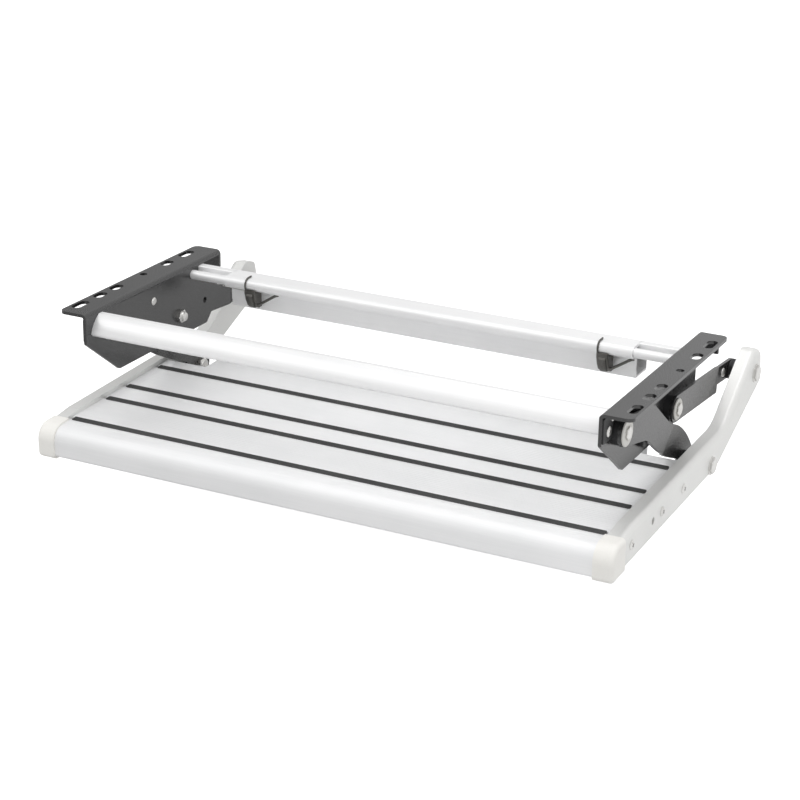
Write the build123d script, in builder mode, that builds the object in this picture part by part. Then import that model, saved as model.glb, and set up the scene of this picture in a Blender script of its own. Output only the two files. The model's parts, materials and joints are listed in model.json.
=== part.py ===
from build123d import *
from math import atan2, cos, degrees, hypot, radians, sin
import os

os.makedirs("parts", exist_ok=True)

# Camper entry step, stowed. Millimetres, X to the right, Y back under the floor, Z up.
# The origin lies midway between the two small locating holes, on top of the flanges.

# Four-bar pivots as seen from the side (Y, Z)
PIVOT_A = (-92.0, -25.5)
PIVOT_B = (27.5, -45.5)
PIVOT_C = (70.0, -109.0)
PIVOT_D = (179.0, -58.0)

# Tread body: its tilt when stowed, and where pivot C sits from the front strip and the tread's top
TREAD_TILT = 1.867
C_BACK = 200.5
C_BELOW = 17.5

# Bracket sheet, with its places along X measured out from the web's inner face
WEB_INNER_X = 243.5
LOCATOR_OUT = 21.5
LOCATOR_R = 3.5
SHEET = 3.0
FLANGE_OUT = 28.5
FRAME_REAR = 102.0
WEB_DEPTH = 66.0
WEB_NOSE_DEPTH = 28.0
WEB_TIP_BACK = 50.0
WEB_REAR_GAP = 7.0
WEB_CUT_LENGTH = 31.0
WEB_CUT_DEPTH = 24.0
WEB_CHAMFER = 20.0
TAB_DEPTH = 17.0
TAB_OUT = 20.5
BEND_R = 1.5
WEB_CORNER_R = 3.0
FLANGE_CORNER_R = 6.0
SLOT_WIDTH = 9.0
INNER_SLOT_LENGTH = 16.0
INNER_SLOT_BACK = (-71.0, -45.0, 40.0)
OUTER_SLOT_LENGTH = 21.0
OUTER_SLOT_BACK = (-102.0, 74.0)
RIVET_AT = (-16.4, -18.5)
RIVET_R = 3.8
RIVET_SHANK_R = 2.0
RIVET_HEAD_T = 1.6
SPARE_HOLE_AT = (72.0, -42.5)
SPARE_HOLE_R = 3.0
BUTTON_AT = (-35.0, -53.0)
BUTTON_R = 6.0
BUTTON_EDGE_R = 1.0

# Layers on a pivot, out from the web
LAYER_GAP = 0.2
LINK_T = 3.0
JOGGLE = 3.4
WASHER_T = 1.5
PIVOT_HEAD_T = 1.8
PIVOT_HEAD_R = 6.0
BOLT_STUB = 1.5
BUSH_FLANGE_R = 11.5
REAR_WASHER_R = 9.5
BUSH_FLANGE_T = 4.9
SLEEVE_R = 6.0
RUN_FIT = 0.08
PIVOT_BOLT_R = 4.0
NUT_T = 5.0
NUT_FLATS = 13.0

# Links
FRONT_HUB_R = 12.0
FRONT_EYE_R = 16.1
FRONT_HUB_TANGENT = 18.0
FRONT_EYE_TANGENT = 24.5
FRONT_CREST = (56.5, 31.5)
FRONT_WAIST = (109.0, 22.6)
FRONT_SHOULDER = (136.0, 25.6)
FRONT_SHOULDER_MID = (165.0, 22.8)
FRONT_ARMPIT = (58.0, 2.0)
FRONT_BELLY = (112.0, -4.4)
FRONT_BELLY_REAR = (150.0, -2.2)
FRONT_CORNER_R = 4.0
FRONT_NECK_R = 8.0
FRONT_WAIST_R = 40.0
FRONT_CREASE_AT = 96.8
FRONT_CREASE_TILT = 24.0
REAR_HUB_R = 12.0
REAR_EYE_R = 9.5
REAR_LINK_TOP = 13.0
REAR_LINK_BOTTOM = -11.0
REAR_LINK_NECK_AT = (105.0, 112.0)
REAR_LINK_NECK_TOP = 9.3
REAR_LINK_NECK_BOTTOM = -6.8
REAR_LINK_CORNER_R = 6.0
REAR_CREASE_AT = 105.5
CREASE_RUN = 9.6
REAR_STUD_AT = (130.0, 1.5)
REAR_STUD_R = 3.0
REAR_STUD_HEAD_R = 4.2
REAR_STUD_HEAD_T = 1.6
TREAD_BOLT_R = 5.0
TREAD_SPACER_R = 9.0
TREAD_SPACER_LENGTH = 8.6
REAR_PIN_R = 4.0
REAR_PIN_COLLAR_R = 9.5

# Crossbar between the webs, just in front of pivot A, and the web's margin in front of it
BAR_WALL = 2.0
BAR_TOP = -3.8
BAR_BOTTOM = -22.0
BAR_BEHIND_GAP = 8.0
BAR_DEPTH = 18.1
BAR_TOP_DEPTH = 5.0
BAR_FRONT_LIP = 2.0
BAR_BULGE = 2.0
BAR_PORT_IN = 4.4
BAR_PORT_UP = 3.7
BAR_PORT_WALL = 1.3
BAR_SCREW_R = 2.2
BAR_SCREW_HEAD_R = 4.5
BAR_SCREW_HEAD_T = 1.6
BAR_SCREW_DEPTH = 20.0
BAR_PEG_IN = 7.0
BAR_PEG_DOWN = 6.0
BAR_PEG_R = 1.2
BAR_PEG_HEAD_R = 1.9
FRAME_MARGIN = 6.9
END_PLATE_T = 1.2
END_PLATE_MARGIN = 1.0
END_PLATE_BUSH_GAP = 1.0
END_PLATE_TOP = -5.0
END_PLATE_BOTTOM = -26.5
END_PLATE_R = 1.5

# Rear rod and the channel hooked on it
ROD_AT = (51.0, -11.0)
ROD_R = 4.4
ROD_CAP_R = 6.0
ROD_CAP_T = 3.5
ROD_FIT = 0.1
CHANNEL_GAP = 38.5
CHANNEL_WALL = 2.0
CHANNEL_REAR = 85.0
CHANNEL_BOTTOM = -37.0
CHANNEL_LIP_FRONT = 59.0
CLIP_IN = 27.5
CLIP_WIDTH = 13.0
CLIP_T = 1.6
CLIP_FIT = 0.2
CLIP_FRONT = 45.5
CLIP_BODY_TOP = -17.5
CLIP_HOOK_REAR = 64.0
BEAD_WALL = 1.2
LIP_HEIGHT = 6.0
WIRE_R = 1.5
WIRE_EYE_GAP = 6.0
WIRE_EYE_R = 6.2
WIRE_FOOT_DROP = 20.0

# Tread panel
PANEL_FRONT = -29.0
PANEL_REAR = 196.0
PANEL_T = 27.0
PANEL_WALL = 2.2
PANEL_NOSE_R = 13.0
PANEL_NOTCH_WIDTH = 43.0
PANEL_NOTCH_Y = 160.0
STRIP_BACK = (0.0, 53.9, 87.0, 140.4)
STRIP_END_GAP = 3.5
STRIP_WIDTH = 5.0
GROOVE_DEPTH = 1.8
STRIP_PROUD = 0.5
STRIP_FIT = 0.1
BOSS_T = 4.4
RIB_BACK = (27.0, 70.5, 110.0, 158.8)
RIB_T = 2.0
PANEL_FOOT_R = 3.0
PORT_WALL = 2.2

# Side arms and corner caps
ARM_T = 15.0
ARM_FRONT = -5.0
ARM_TOP = 4.0
ARM_BOTTOM = -28.0
ARM_KNEE_TOP = 236.0
ARM_KNEE_BOTTOM = 217.0
ARM_FRONT_TOP = 2.0
ARM_FRONT_RAMP = 20.0
ARM_END_TOP_FROM_D = (-2.1, 23.1)
ARM_END_REAR_TOP_FROM_D = (15.9, 18.1)
ARM_END_BOTTOM_FROM_D = (20.9, -13.9)
ARM_EDGE_R = 6.0
ARM_KNEE_R = 40.0
ARM_SCREW_AT = ((10.0, -10.5), (78.5, -10.0), (129.0, -10.0))
ARM_SCREW_R = 2.2
ARM_SCREW_HEAD_R = 4.2
ARM_SCREW_HEAD_T = 1.6
ARM_SCREW_DEPTH = 22.0
ARM_HOLE_AT = (58.0, -10.0)
ARM_HOLE_R = 3.2
ARM_HOLE_DEPTH = 6.0
ARM_END_R = 8.0
TREAD_NUT_FLATS = 14.0
CAP_OUT = 1.0
CAP_OVERLAP = 2.0
CAP_PROUD = 2.0
CAP_WALL = 2.5
CAP_RIM_R = 4.0
CAP_FIT = 0.1
TONGUE_LENGTH = 14.0
TONGUE_SIZE = (12.0, 14.0)
TONGUE_AT = (-16.0, -14.0)
ARM_BOLT_HEAD_T = 3.0
ARM_BOLT_HEAD_R = 8.0
PIN_HEAD_R = 7.0
PIN_HEAD_T = 1.8
OPEN_PIVOT_GAP = 0.3

# Derived places along X
WEB_X = WEB_INNER_X + SHEET
LOCATOR_X = WEB_INNER_X + LOCATOR_OUT
FLANGE_X = WEB_INNER_X + FLANGE_OUT
TAB_X = WEB_INNER_X + TAB_OUT
TAB_INNER_X = WEB_X + BEND_R
BUSH_X = WEB_X + BUSH_FLANGE_T
LINK_X = BUSH_X + LAYER_GAP
LINK_OUTER_X = LINK_X + LINK_T
WASHER_X = LINK_OUTER_X + LAYER_GAP
PIVOT_HEAD_X = WASHER_X + WASHER_T
INNER_LAYER_X = LINK_X - JOGGLE
INNER_LAYER_OUTER_X = INNER_LAYER_X + LINK_T
SPACER_X = INNER_LAYER_OUTER_X + LAYER_GAP
PANEL_HALF = SPACER_X + TREAD_SPACER_LENGTH
PANEL_NOTCH_X = PANEL_HALF - PANEL_NOTCH_WIDTH
STRIP_HALF = PANEL_HALF - STRIP_END_GAP
ARM_OUTER_X = PANEL_HALF + ARM_T
CHANNEL_HALF = WEB_INNER_X - CHANNEL_GAP
CLIP_X = CHANNEL_HALF - CLIP_IN
WIRE_EYE_X = CHANNEL_HALF + WIRE_EYE_GAP

# Derived places of the crossbar and the bracket along Y
BAR_REAR = PIVOT_A[0] - BAR_BEHIND_GAP
BAR_FRONT = BAR_REAR - BAR_DEPTH
BAR_TOP_FRONT = BAR_REAR - BAR_TOP_DEPTH
BAR_PORT_AT = (BAR_FRONT + BAR_PORT_IN, BAR_BOTTOM + BAR_PORT_UP)
BAR_PEG_AT = (BAR_REAR - BAR_PEG_IN, BAR_TOP - BAR_PEG_DOWN)
FRAME_FRONT = BAR_FRONT - FRAME_MARGIN
END_PLATE_FRONT = FRAME_FRONT + END_PLATE_MARGIN
END_PLATE_REAR = PIVOT_A[0] - BUSH_FLANGE_R - END_PLATE_BUSH_GAP
WEB_REAR = FRAME_REAR - WEB_REAR_GAP
WEB_CUT_REAR = FRAME_REAR - WEB_CUT_LENGTH

# Derived link directions and lengths
FRONT_LINK_LENGTH = hypot(PIVOT_C[0] - PIVOT_A[0], PIVOT_C[1] - PIVOT_A[1])
FRONT_LINK_ANGLE = degrees(atan2(PIVOT_C[1] - PIVOT_A[1], PIVOT_C[0] - PIVOT_A[0]))
FRONT_EYE_START = (FRONT_LINK_LENGTH + FRONT_EYE_R * sin(radians(FRONT_EYE_TANGENT)),
                   FRONT_EYE_R * cos(radians(FRONT_EYE_TANGENT)))
REAR_LINK_LENGTH = hypot(PIVOT_D[0] - PIVOT_B[0], PIVOT_D[1] - PIVOT_B[1])
REAR_LINK_ANGLE = degrees(atan2(PIVOT_D[1] - PIVOT_B[1], PIVOT_D[0] - PIVOT_B[0]))

# Derived origin of the tread body, from pivot C
TILT_COS = cos(radians(TREAD_TILT))
TILT_SIN = sin(radians(TREAD_TILT))
TREAD_Y = PIVOT_C[0] - TILT_COS * C_BACK - TILT_SIN * C_BELOW
TREAD_Z = PIVOT_C[1] - TILT_SIN * C_BACK + TILT_COS * C_BELOW
D_OFFSET = (PIVOT_D[0] - TREAD_Y, PIVOT_D[1] - TREAD_Z)
C_LOCAL = (C_BACK, -C_BELOW)
D_LOCAL = (TILT_COS * D_OFFSET[0] + TILT_SIN * D_OFFSET[1],
           TILT_COS * D_OFFSET[1] - TILT_SIN * D_OFFSET[0])
ARM_END_TOP = (D_LOCAL[0] + ARM_END_TOP_FROM_D[0], D_LOCAL[1] + ARM_END_TOP_FROM_D[1])
ARM_END_REAR_TOP = (D_LOCAL[0] + ARM_END_REAR_TOP_FROM_D[0], D_LOCAL[1] + ARM_END_REAR_TOP_FROM_D[1])
ARM_END_BOTTOM = (D_LOCAL[0] + ARM_END_BOTTOM_FROM_D[0], D_LOCAL[1] + ARM_END_BOTTOM_FROM_D[1])
tread_top = Plane(origin=(0, TREAD_Y, TREAD_Z), x_dir=(1, 0, 0), z_dir=(0, -TILT_SIN, TILT_COS))

# Derived ends of the panel's rear bay, which is open below
OPEN_BAY_FRONT = RIB_BACK[-1] + RIB_T / 2
OPEN_BAY_REAR = PANEL_REAR - PANEL_WALL

# Derived places of the channel, the clips and the caps
BEAD_R = ROD_R + ROD_FIT + BEAD_WALL
CHANNEL_TOP = ROD_AT[1] + BEAD_R
CLIP_LIP_TOP = CHANNEL_BOTTOM + LIP_HEIGHT
CAP_INNER_X = PANEL_HALF - CAP_OVERLAP
CAP_OUTER_X = ARM_OUTER_X + CAP_OUT


def side(x):
    """Side view plane at x: local X runs back, local Y runs up."""
    return Plane.YZ.offset(x)


def turned_side(x, pivot, angle):
    """Side view plane at x with its origin on a pivot and its local X at an angle."""
    direction = (0, cos(radians(angle)), sin(radians(angle)))
    return Plane(origin=(x, pivot[0], pivot[1]), x_dir=direction, z_dir=(1, 0, 0))


def tread_side(x):
    """Side view plane of the tread body at x."""
    return turned_side(x, (TREAD_Y, TREAD_Z), TREAD_TILT)


def crease_plane(pivot, angle):
    """Plane across a link plate: local X along the plate, local Y to the right of the step."""
    along = Vector(0, cos(radians(angle)), sin(radians(angle)))
    outward = Vector(1, 0, 0)
    return Plane(origin=(0, pivot[0], pivot[1]), x_dir=along, z_dir=along.cross(outward))


def band_points(crease_at, reach):
    """Edge view of a joggled plate, from before its hub to past its far eye."""
    crease_end = crease_at + CREASE_RUN
    return [(-reach, LINK_X), (crease_at, LINK_X), (crease_end, INNER_LAYER_X),
            (reach, INNER_LAYER_X), (reach, INNER_LAYER_OUTER_X),
            (crease_end, INNER_LAYER_OUTER_X), (crease_at, LINK_OUTER_X), (-reach, LINK_OUTER_X)]


def nose_outline(rear, grow):
    """Draw in the open sketch the panel's outline, from its nose back to rear, grown by a margin."""
    front = PANEL_FRONT - grow
    foot = -PANEL_T - grow
    with BuildLine(Plane.XY) as nose_line:
        Polyline((front, grow), (rear, grow), (rear, foot), (front, foot), close=True)
        fillet(nose_line.vertices().sort_by_distance((front, grow))[0], PANEL_NOSE_R + grow)
        fillet(nose_line.vertices().sort_by_distance((front, foot))[0], PANEL_FOOT_R + grow)
    make_face(nose_line.edges())


def is_upper_arm_edge(edge):
    """True on the arm's outer outline along its top and down its rear end."""
    middle = tread_side(ARM_OUTER_X).to_local_coords(edge @ 0.5)
    rise = (ARM_END_BOTTOM[1] - ARM_BOTTOM) / (ARM_END_BOTTOM[0] - ARM_KNEE_BOTTOM)
    lower_edge = max(ARM_BOTTOM, ARM_BOTTOM + rise * (middle.X - ARM_KNEE_BOTTOM))
    return middle.Y > lower_edge + ARM_EDGE_R and middle.X > ARM_FRONT + ARM_EDGE_R / 2


# Bracket: one bent sheet with the flange, the web and the rear tab
with BuildPart() as bracket_right:
    with BuildSketch(Plane.XZ.offset(-FRAME_FRONT)) as bent_sheet:
        with BuildLine():
            Polyline((WEB_INNER_X, 0), (FLANGE_X, 0), (FLANGE_X, -SHEET), (WEB_X, -SHEET),
                     (WEB_X, -WEB_DEPTH), (WEB_INNER_X, -WEB_DEPTH), close=True)
        make_face()
        fillet(bent_sheet.vertices().sort_by_distance((WEB_X, -SHEET))[0], BEND_R)
        fillet(bent_sheet.vertices().sort_by_distance((WEB_INNER_X, 0))[0], BEND_R + SHEET)
    extrude(amount=FRAME_FRONT - FRAME_REAR)
    with BuildSketch(side(WEB_INNER_X)):
        with BuildLine():
            Polyline((FRAME_FRONT, 0), (FRAME_FRONT, -WEB_NOSE_DEPTH),
                     (FRAME_FRONT + WEB_TIP_BACK, -WEB_DEPTH), (WEB_REAR - WEB_CHAMFER, -WEB_DEPTH),
                     (WEB_REAR, WEB_CHAMFER - WEB_DEPTH), (WEB_REAR, -WEB_CUT_DEPTH),
                     (WEB_CUT_REAR, -WEB_CUT_DEPTH), (WEB_CUT_REAR, -SHEET - BEND_R),
                     (FRAME_REAR, -SHEET - BEND_R), (FRAME_REAR, 0), close=True)
        outline = make_face()
        fillet(outline.vertices().filter_by_position(Axis.Y, -WEB_DEPTH, -WEB_CUT_DEPTH), WEB_CORNER_R)
    extrude(amount=FLANGE_X - WEB_INNER_X, mode=Mode.INTERSECT)
    fillet(bracket_right.edges().filter_by(Axis.Z).sort_by(Axis.X)[-2:], FLANGE_CORNER_R)
    with BuildSketch(Plane.XY):
        with Locations(((TAB_INNER_X + TAB_X) / 2, FRAME_REAR - SHEET / 2)):
            Rectangle(TAB_X - TAB_INNER_X, SHEET)
    extrude(amount=-TAB_DEPTH)
    with BuildSketch(Plane.XY):
        with Locations([(LOCATOR_X, slot_y) for slot_y in INNER_SLOT_BACK]):
            SlotOverall(INNER_SLOT_LENGTH, SLOT_WIDTH, rotation=90)
        with Locations([(LOCATOR_X, slot_y) for slot_y in OUTER_SLOT_BACK]):
            SlotOverall(OUTER_SLOT_LENGTH, SLOT_WIDTH, rotation=90)
        with Locations((LOCATOR_X, 0)):
            Circle(LOCATOR_R)
    extrude(amount=-SHEET, mode=Mode.SUBTRACT)
    with BuildSketch(side(WEB_INNER_X)):
        with Locations(PIVOT_A, PIVOT_B):
            Circle(PIVOT_BOLT_R)
        with Locations(ROD_AT):
            Circle(ROD_R + ROD_FIT)
        with Locations(BAR_PORT_AT):
            Circle(BAR_SCREW_R)
        with Locations(BAR_PEG_AT):
            Circle(BAR_PEG_R)
        with Locations(RIVET_AT):
            Circle(RIVET_SHANK_R)
        with Locations(SPARE_HOLE_AT):
            Circle(SPARE_HOLE_R)
    extrude(amount=SHEET, mode=Mode.SUBTRACT)

with BuildPart() as bracket_left:
    mirror(bracket_right.part, about=Plane.YZ)

# Front crossbar: hollow extrusion with a sloped, rounded front and two screw ports
with BuildPart() as front_crossbar:
    with BuildSketch(side(-WEB_INNER_X)):
        with BuildLine():
            Polyline((BAR_TOP_FRONT, BAR_TOP), (BAR_REAR, BAR_TOP), (BAR_REAR, BAR_BOTTOM),
                     (BAR_FRONT + BAR_FRONT_LIP, BAR_BOTTOM), (BAR_FRONT, BAR_BOTTOM + BAR_FRONT_LIP))
            SagittaArc((BAR_FRONT, BAR_BOTTOM + BAR_FRONT_LIP), (BAR_TOP_FRONT, BAR_TOP), BAR_BULGE)
        make_face()
        offset(amount=-BAR_WALL, mode=Mode.SUBTRACT)
        with Locations(BAR_PORT_AT):
            Circle(BAR_SCREW_R + BAR_PORT_WALL)
        with Locations(BAR_PEG_AT):
            Circle(BAR_PEG_R + BAR_PORT_WALL)
        with Locations(((BAR_PEG_AT[0] + BAR_REAR) / 2, BAR_PEG_AT[1])):
            Rectangle(BAR_REAR - BAR_PEG_AT[0], BAR_WALL)
        with Locations(BAR_PORT_AT):
            Circle(BAR_SCREW_R, mode=Mode.SUBTRACT)
        with Locations(BAR_PEG_AT):
            Circle(BAR_PEG_R, mode=Mode.SUBTRACT)
    extrude(amount=2 * WEB_INNER_X)

with BuildPart() as crossbar_end_plates:
    with BuildSketch(side(WEB_X)):
        with Locations(((END_PLATE_FRONT + END_PLATE_REAR) / 2, (END_PLATE_TOP + END_PLATE_BOTTOM) / 2)):
            RectangleRounded(END_PLATE_REAR - END_PLATE_FRONT, END_PLATE_TOP - END_PLATE_BOTTOM, END_PLATE_R)
        with Locations(BAR_PORT_AT):
            Circle(BAR_SCREW_R, mode=Mode.SUBTRACT)
        with Locations(BAR_PEG_AT):
            Circle(BAR_PEG_R, mode=Mode.SUBTRACT)
    extrude(amount=END_PLATE_T)
    mirror(about=Plane.YZ)

with BuildPart() as crossbar_screws:
    with BuildSketch(side(WEB_X + END_PLATE_T)):
        with Locations(BAR_PORT_AT):
            Circle(BAR_SCREW_HEAD_R)
        with Locations(BAR_PEG_AT):
            Circle(BAR_PEG_HEAD_R)
    extrude(amount=BAR_SCREW_HEAD_T)
    with BuildSketch(side(WEB_X + END_PLATE_T)):
        with Locations(BAR_PORT_AT):
            Circle(BAR_SCREW_R)
        with Locations(BAR_PEG_AT):
            Circle(BAR_PEG_R)
    extrude(amount=-BAR_SCREW_DEPTH)
    mirror(about=Plane.YZ)

# Rear rod, its end caps, and the channel whose bead wraps the rod
with BuildPart() as rear_rod:
    with BuildSketch(side(0)):
        with Locations(ROD_AT):
            Circle(ROD_R)
    extrude(amount=WEB_X + ROD_CAP_T / 2, both=True)

with BuildPart() as rod_end_caps:
    with BuildSketch(side(WEB_X)):
        with Locations(ROD_AT):
            Circle(ROD_CAP_R)
    extrude(amount=ROD_CAP_T)
    fillet(rod_end_caps.faces().sort_by(Axis.X)[-1].edges(), ROD_CAP_T / 3)
    with BuildSketch(side(WEB_X)):
        with Locations(ROD_AT):
            Circle(ROD_R)
    extrude(amount=ROD_CAP_T / 2, mode=Mode.SUBTRACT)
    mirror(about=Plane.YZ)

with BuildPart() as rear_channel:
    with BuildSketch(side(-CHANNEL_HALF)):
        with BuildLine():
            Polyline((ROD_AT[0], CHANNEL_TOP), (CHANNEL_REAR, CHANNEL_TOP), (CHANNEL_REAR, CHANNEL_BOTTOM),
                     (CHANNEL_LIP_FRONT, CHANNEL_BOTTOM), (CHANNEL_LIP_FRONT, CHANNEL_BOTTOM + LIP_HEIGHT),
                     (CHANNEL_LIP_FRONT + CHANNEL_WALL, CHANNEL_BOTTOM + LIP_HEIGHT),
                     (CHANNEL_LIP_FRONT + CHANNEL_WALL, CHANNEL_BOTTOM + CHANNEL_WALL),
                     (CHANNEL_REAR - CHANNEL_WALL, CHANNEL_BOTTOM + CHANNEL_WALL),
                     (CHANNEL_REAR - CHANNEL_WALL, CHANNEL_TOP - CHANNEL_WALL),
                     (ROD_AT[0], CHANNEL_TOP - CHANNEL_WALL), close=True)
        channel = make_face()
        fillet(channel.vertices().filter_by_position(Axis.X, CHANNEL_REAR, CHANNEL_REAR), CHANNEL_WALL)
        with Locations(ROD_AT):
            Circle(BEAD_R)
            Circle(ROD_R + ROD_FIT, mode=Mode.SUBTRACT)
    extrude(amount=2 * CHANNEL_HALF)

# Spring clips: a strap over the bead, a box section body and a hook under the lip
with BuildPart() as spring_clips:
    with BuildSketch(side(CLIP_X - CLIP_WIDTH / 2)):
        with Locations(ROD_AT):
            Circle(BEAD_R + CLIP_FIT + CLIP_T)
        with Locations((ROD_AT[0] + BEAD_R, ROD_AT[1])):
            Rectangle(2 * BEAD_R, 4 * BEAD_R, mode=Mode.SUBTRACT)
        with BuildLine():
            Polyline((CLIP_FRONT, CLIP_BODY_TOP + BEAD_R), (ROD_AT[0], CLIP_BODY_TOP + BEAD_R),
                     (ROD_AT[0] + BEAD_R, CLIP_BODY_TOP), (CHANNEL_LIP_FRONT - CLIP_FIT, CLIP_LIP_TOP),
                     (CHANNEL_LIP_FRONT - CLIP_FIT, CHANNEL_BOTTOM - CLIP_FIT),
                     (CLIP_HOOK_REAR, CHANNEL_BOTTOM - CLIP_FIT),
                     (CLIP_HOOK_REAR, CHANNEL_BOTTOM - CLIP_FIT - CLIP_T),
                     (CHANNEL_LIP_FRONT - CLIP_T, CHANNEL_BOTTOM - CLIP_FIT - CLIP_T), close=True)
        make_face()
        with Locations(ROD_AT):
            Circle(BEAD_R + CLIP_FIT, mode=Mode.SUBTRACT)
    extrude(amount=CLIP_WIDTH)
    mirror(about=Plane.YZ)

# Wire from each clip to an eye on the rod
with BuildPart() as clip_wire_right:
    with BuildLine() as wire_line:
        Line((CLIP_X + CLIP_WIDTH / 2, ROD_AT[0], ROD_AT[1] - WIRE_FOOT_DROP),
             (WIRE_EYE_X, ROD_AT[0], ROD_AT[1] - WIRE_EYE_R))
    with BuildSketch(Plane(origin=wire_line.line @ 0, z_dir=wire_line.line % 0)):
        Circle(WIRE_R)
    sweep()
    with BuildSketch(Plane(origin=(WIRE_EYE_X, ROD_AT[0], ROD_AT[1]), x_dir=(0, 1, 0), z_dir=(0, 0, 1))):
        with Locations((WIRE_EYE_R, 0)):
            Circle(WIRE_R)
    revolve(axis=Axis((WIRE_EYE_X, ROD_AT[0], ROD_AT[1]), (1, 0, 0)))

with BuildPart() as clip_wire_left:
    mirror(clip_wire_right.part, about=Plane.YZ)

# Bolted pivots on the brackets
with BuildPart() as pivot_bushes:
    with BuildSketch(side(WEB_X)):
        with Locations(PIVOT_A, PIVOT_B):
            Circle(BUSH_FLANGE_R)
            Circle(PIVOT_BOLT_R, mode=Mode.SUBTRACT)
    extrude(amount=BUSH_FLANGE_T)
    with BuildSketch(side(BUSH_X)):
        with Locations(PIVOT_A, PIVOT_B):
            Circle(SLEEVE_R)
            Circle(PIVOT_BOLT_R, mode=Mode.SUBTRACT)
    extrude(amount=WASHER_X - BUSH_X)
    mirror(about=Plane.YZ)

with BuildPart() as pivot_washers:
    with BuildSketch(side(WASHER_X)):
        with Locations(PIVOT_A):
            Circle(BUSH_FLANGE_R)
        with Locations(PIVOT_B):
            Circle(REAR_WASHER_R)
        with Locations(PIVOT_A, PIVOT_B):
            Circle(PIVOT_BOLT_R, mode=Mode.SUBTRACT)
    extrude(amount=WASHER_T)
    mirror(about=Plane.YZ)

with BuildPart() as pivot_bolts:
    with BuildSketch(side(PIVOT_HEAD_X)):
        with Locations(PIVOT_A, PIVOT_B):
            RegularPolygon(PIVOT_HEAD_R, 6)
    extrude(amount=PIVOT_HEAD_T)
    with BuildSketch(side(PIVOT_HEAD_X)):
        with Locations(PIVOT_A, PIVOT_B):
            Circle(PIVOT_BOLT_R)
    extrude(amount=WEB_INNER_X - NUT_T - BOLT_STUB - PIVOT_HEAD_X)
    mirror(about=Plane.YZ)

with BuildPart() as pivot_nuts:
    with BuildSketch(side(WEB_INNER_X)):
        with Locations(PIVOT_A, PIVOT_B):
            RegularPolygon(NUT_FLATS / 2, 6, major_radius=False, rotation=30)
            Circle(PIVOT_BOLT_R, mode=Mode.SUBTRACT)
    extrude(amount=-NUT_T)
    mirror(about=Plane.YZ)

with BuildPart() as glide_buttons:
    with BuildSketch(side(WEB_X)):
        with Locations(BUTTON_AT):
            Circle(BUTTON_R)
    extrude(amount=BUSH_FLANGE_T - LAYER_GAP)
    fillet(glide_buttons.faces().sort_by(Axis.X)[-1].edges(), BUTTON_EDGE_R)
    mirror(about=Plane.YZ)

with BuildPart() as web_rivets:
    with BuildSketch(side(WEB_INNER_X)):
        with Locations(RIVET_AT):
            Circle(RIVET_R)
    extrude(amount=-RIVET_HEAD_T)
    fillet(web_rivets.faces().sort_by(Axis.X)[0].edges(), RIVET_HEAD_T / 2)
    with BuildSketch(side(WEB_INNER_X)):
        with Locations(RIVET_AT):
            Circle(RIVET_SHANK_R)
    extrude(amount=SHEET)
    with BuildSketch(side(WEB_X)):
        with Locations(RIVET_AT):
            Circle(RIVET_R)
    extrude(amount=RIVET_HEAD_T)
    mirror(about=Plane.YZ)

# Front link: wide plate cranked inward behind a slanted crease, hub on A, eye on C
with BuildPart() as front_link_right:
    with BuildSketch(turned_side(INNER_LAYER_X, PIVOT_A, FRONT_LINK_ANGLE)) as front_link_outline:
        Circle(FRONT_HUB_R)
        with BuildLine():
            Polyline((-FRONT_HUB_R * sin(radians(FRONT_HUB_TANGENT)),
                      FRONT_HUB_R * cos(radians(FRONT_HUB_TANGENT))),
                     FRONT_CREST, FRONT_WAIST, FRONT_SHOULDER)
            ThreePointArc(FRONT_SHOULDER, FRONT_SHOULDER_MID, FRONT_EYE_START)
            Polyline(FRONT_EYE_START, (FRONT_LINK_LENGTH, FRONT_BELLY_REAR[1]), FRONT_BELLY_REAR)
            ThreePointArc(FRONT_BELLY_REAR, FRONT_BELLY, FRONT_ARMPIT)
            Polyline(FRONT_ARMPIT, (0, -FRONT_HUB_R),
                     (-FRONT_HUB_R * sin(radians(FRONT_HUB_TANGENT)),
                      FRONT_HUB_R * cos(radians(FRONT_HUB_TANGENT))))
        make_face()
        with Locations((FRONT_LINK_LENGTH, 0)):
            Circle(FRONT_EYE_R)
        neck = (FRONT_LINK_LENGTH - FRONT_EYE_R, FRONT_BELLY_REAR[1])
        fillet(front_link_outline.vertices().sort_by_distance(neck)[0], FRONT_NECK_R)
        fillet(front_link_outline.vertices().sort_by_distance(FRONT_ARMPIT)[0], FRONT_WAIST_R)
        fillet(front_link_outline.vertices().sort_by_distance(FRONT_CREST)[0], FRONT_CORNER_R)
        fillet(front_link_outline.vertices().sort_by_distance(FRONT_WAIST)[0], FRONT_WAIST_R)
        fillet(front_link_outline.vertices().sort_by_distance(FRONT_SHOULDER)[0], FRONT_WAIST_R)
    extrude(amount=LINK_OUTER_X - INNER_LAYER_X)
    with BuildSketch(crease_plane(PIVOT_A, FRONT_LINK_ANGLE - FRONT_CREASE_TILT)):
        with BuildLine():
            Polyline(*band_points(FRONT_CREASE_AT, 2 * FRONT_LINK_LENGTH), close=True)
        make_face()
    extrude(amount=FRONT_LINK_LENGTH, both=True, mode=Mode.INTERSECT)
    with BuildSketch(turned_side(INNER_LAYER_X, PIVOT_A, FRONT_LINK_ANGLE)):
        Circle(SLEEVE_R + RUN_FIT)
        with Locations((FRONT_LINK_LENGTH, 0)):
            Circle(TREAD_BOLT_R + RUN_FIT)
    extrude(amount=LINK_OUTER_X - INNER_LAYER_X, mode=Mode.SUBTRACT)

with BuildPart() as front_link_left:
    mirror(front_link_right.part, about=Plane.YZ)

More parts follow.
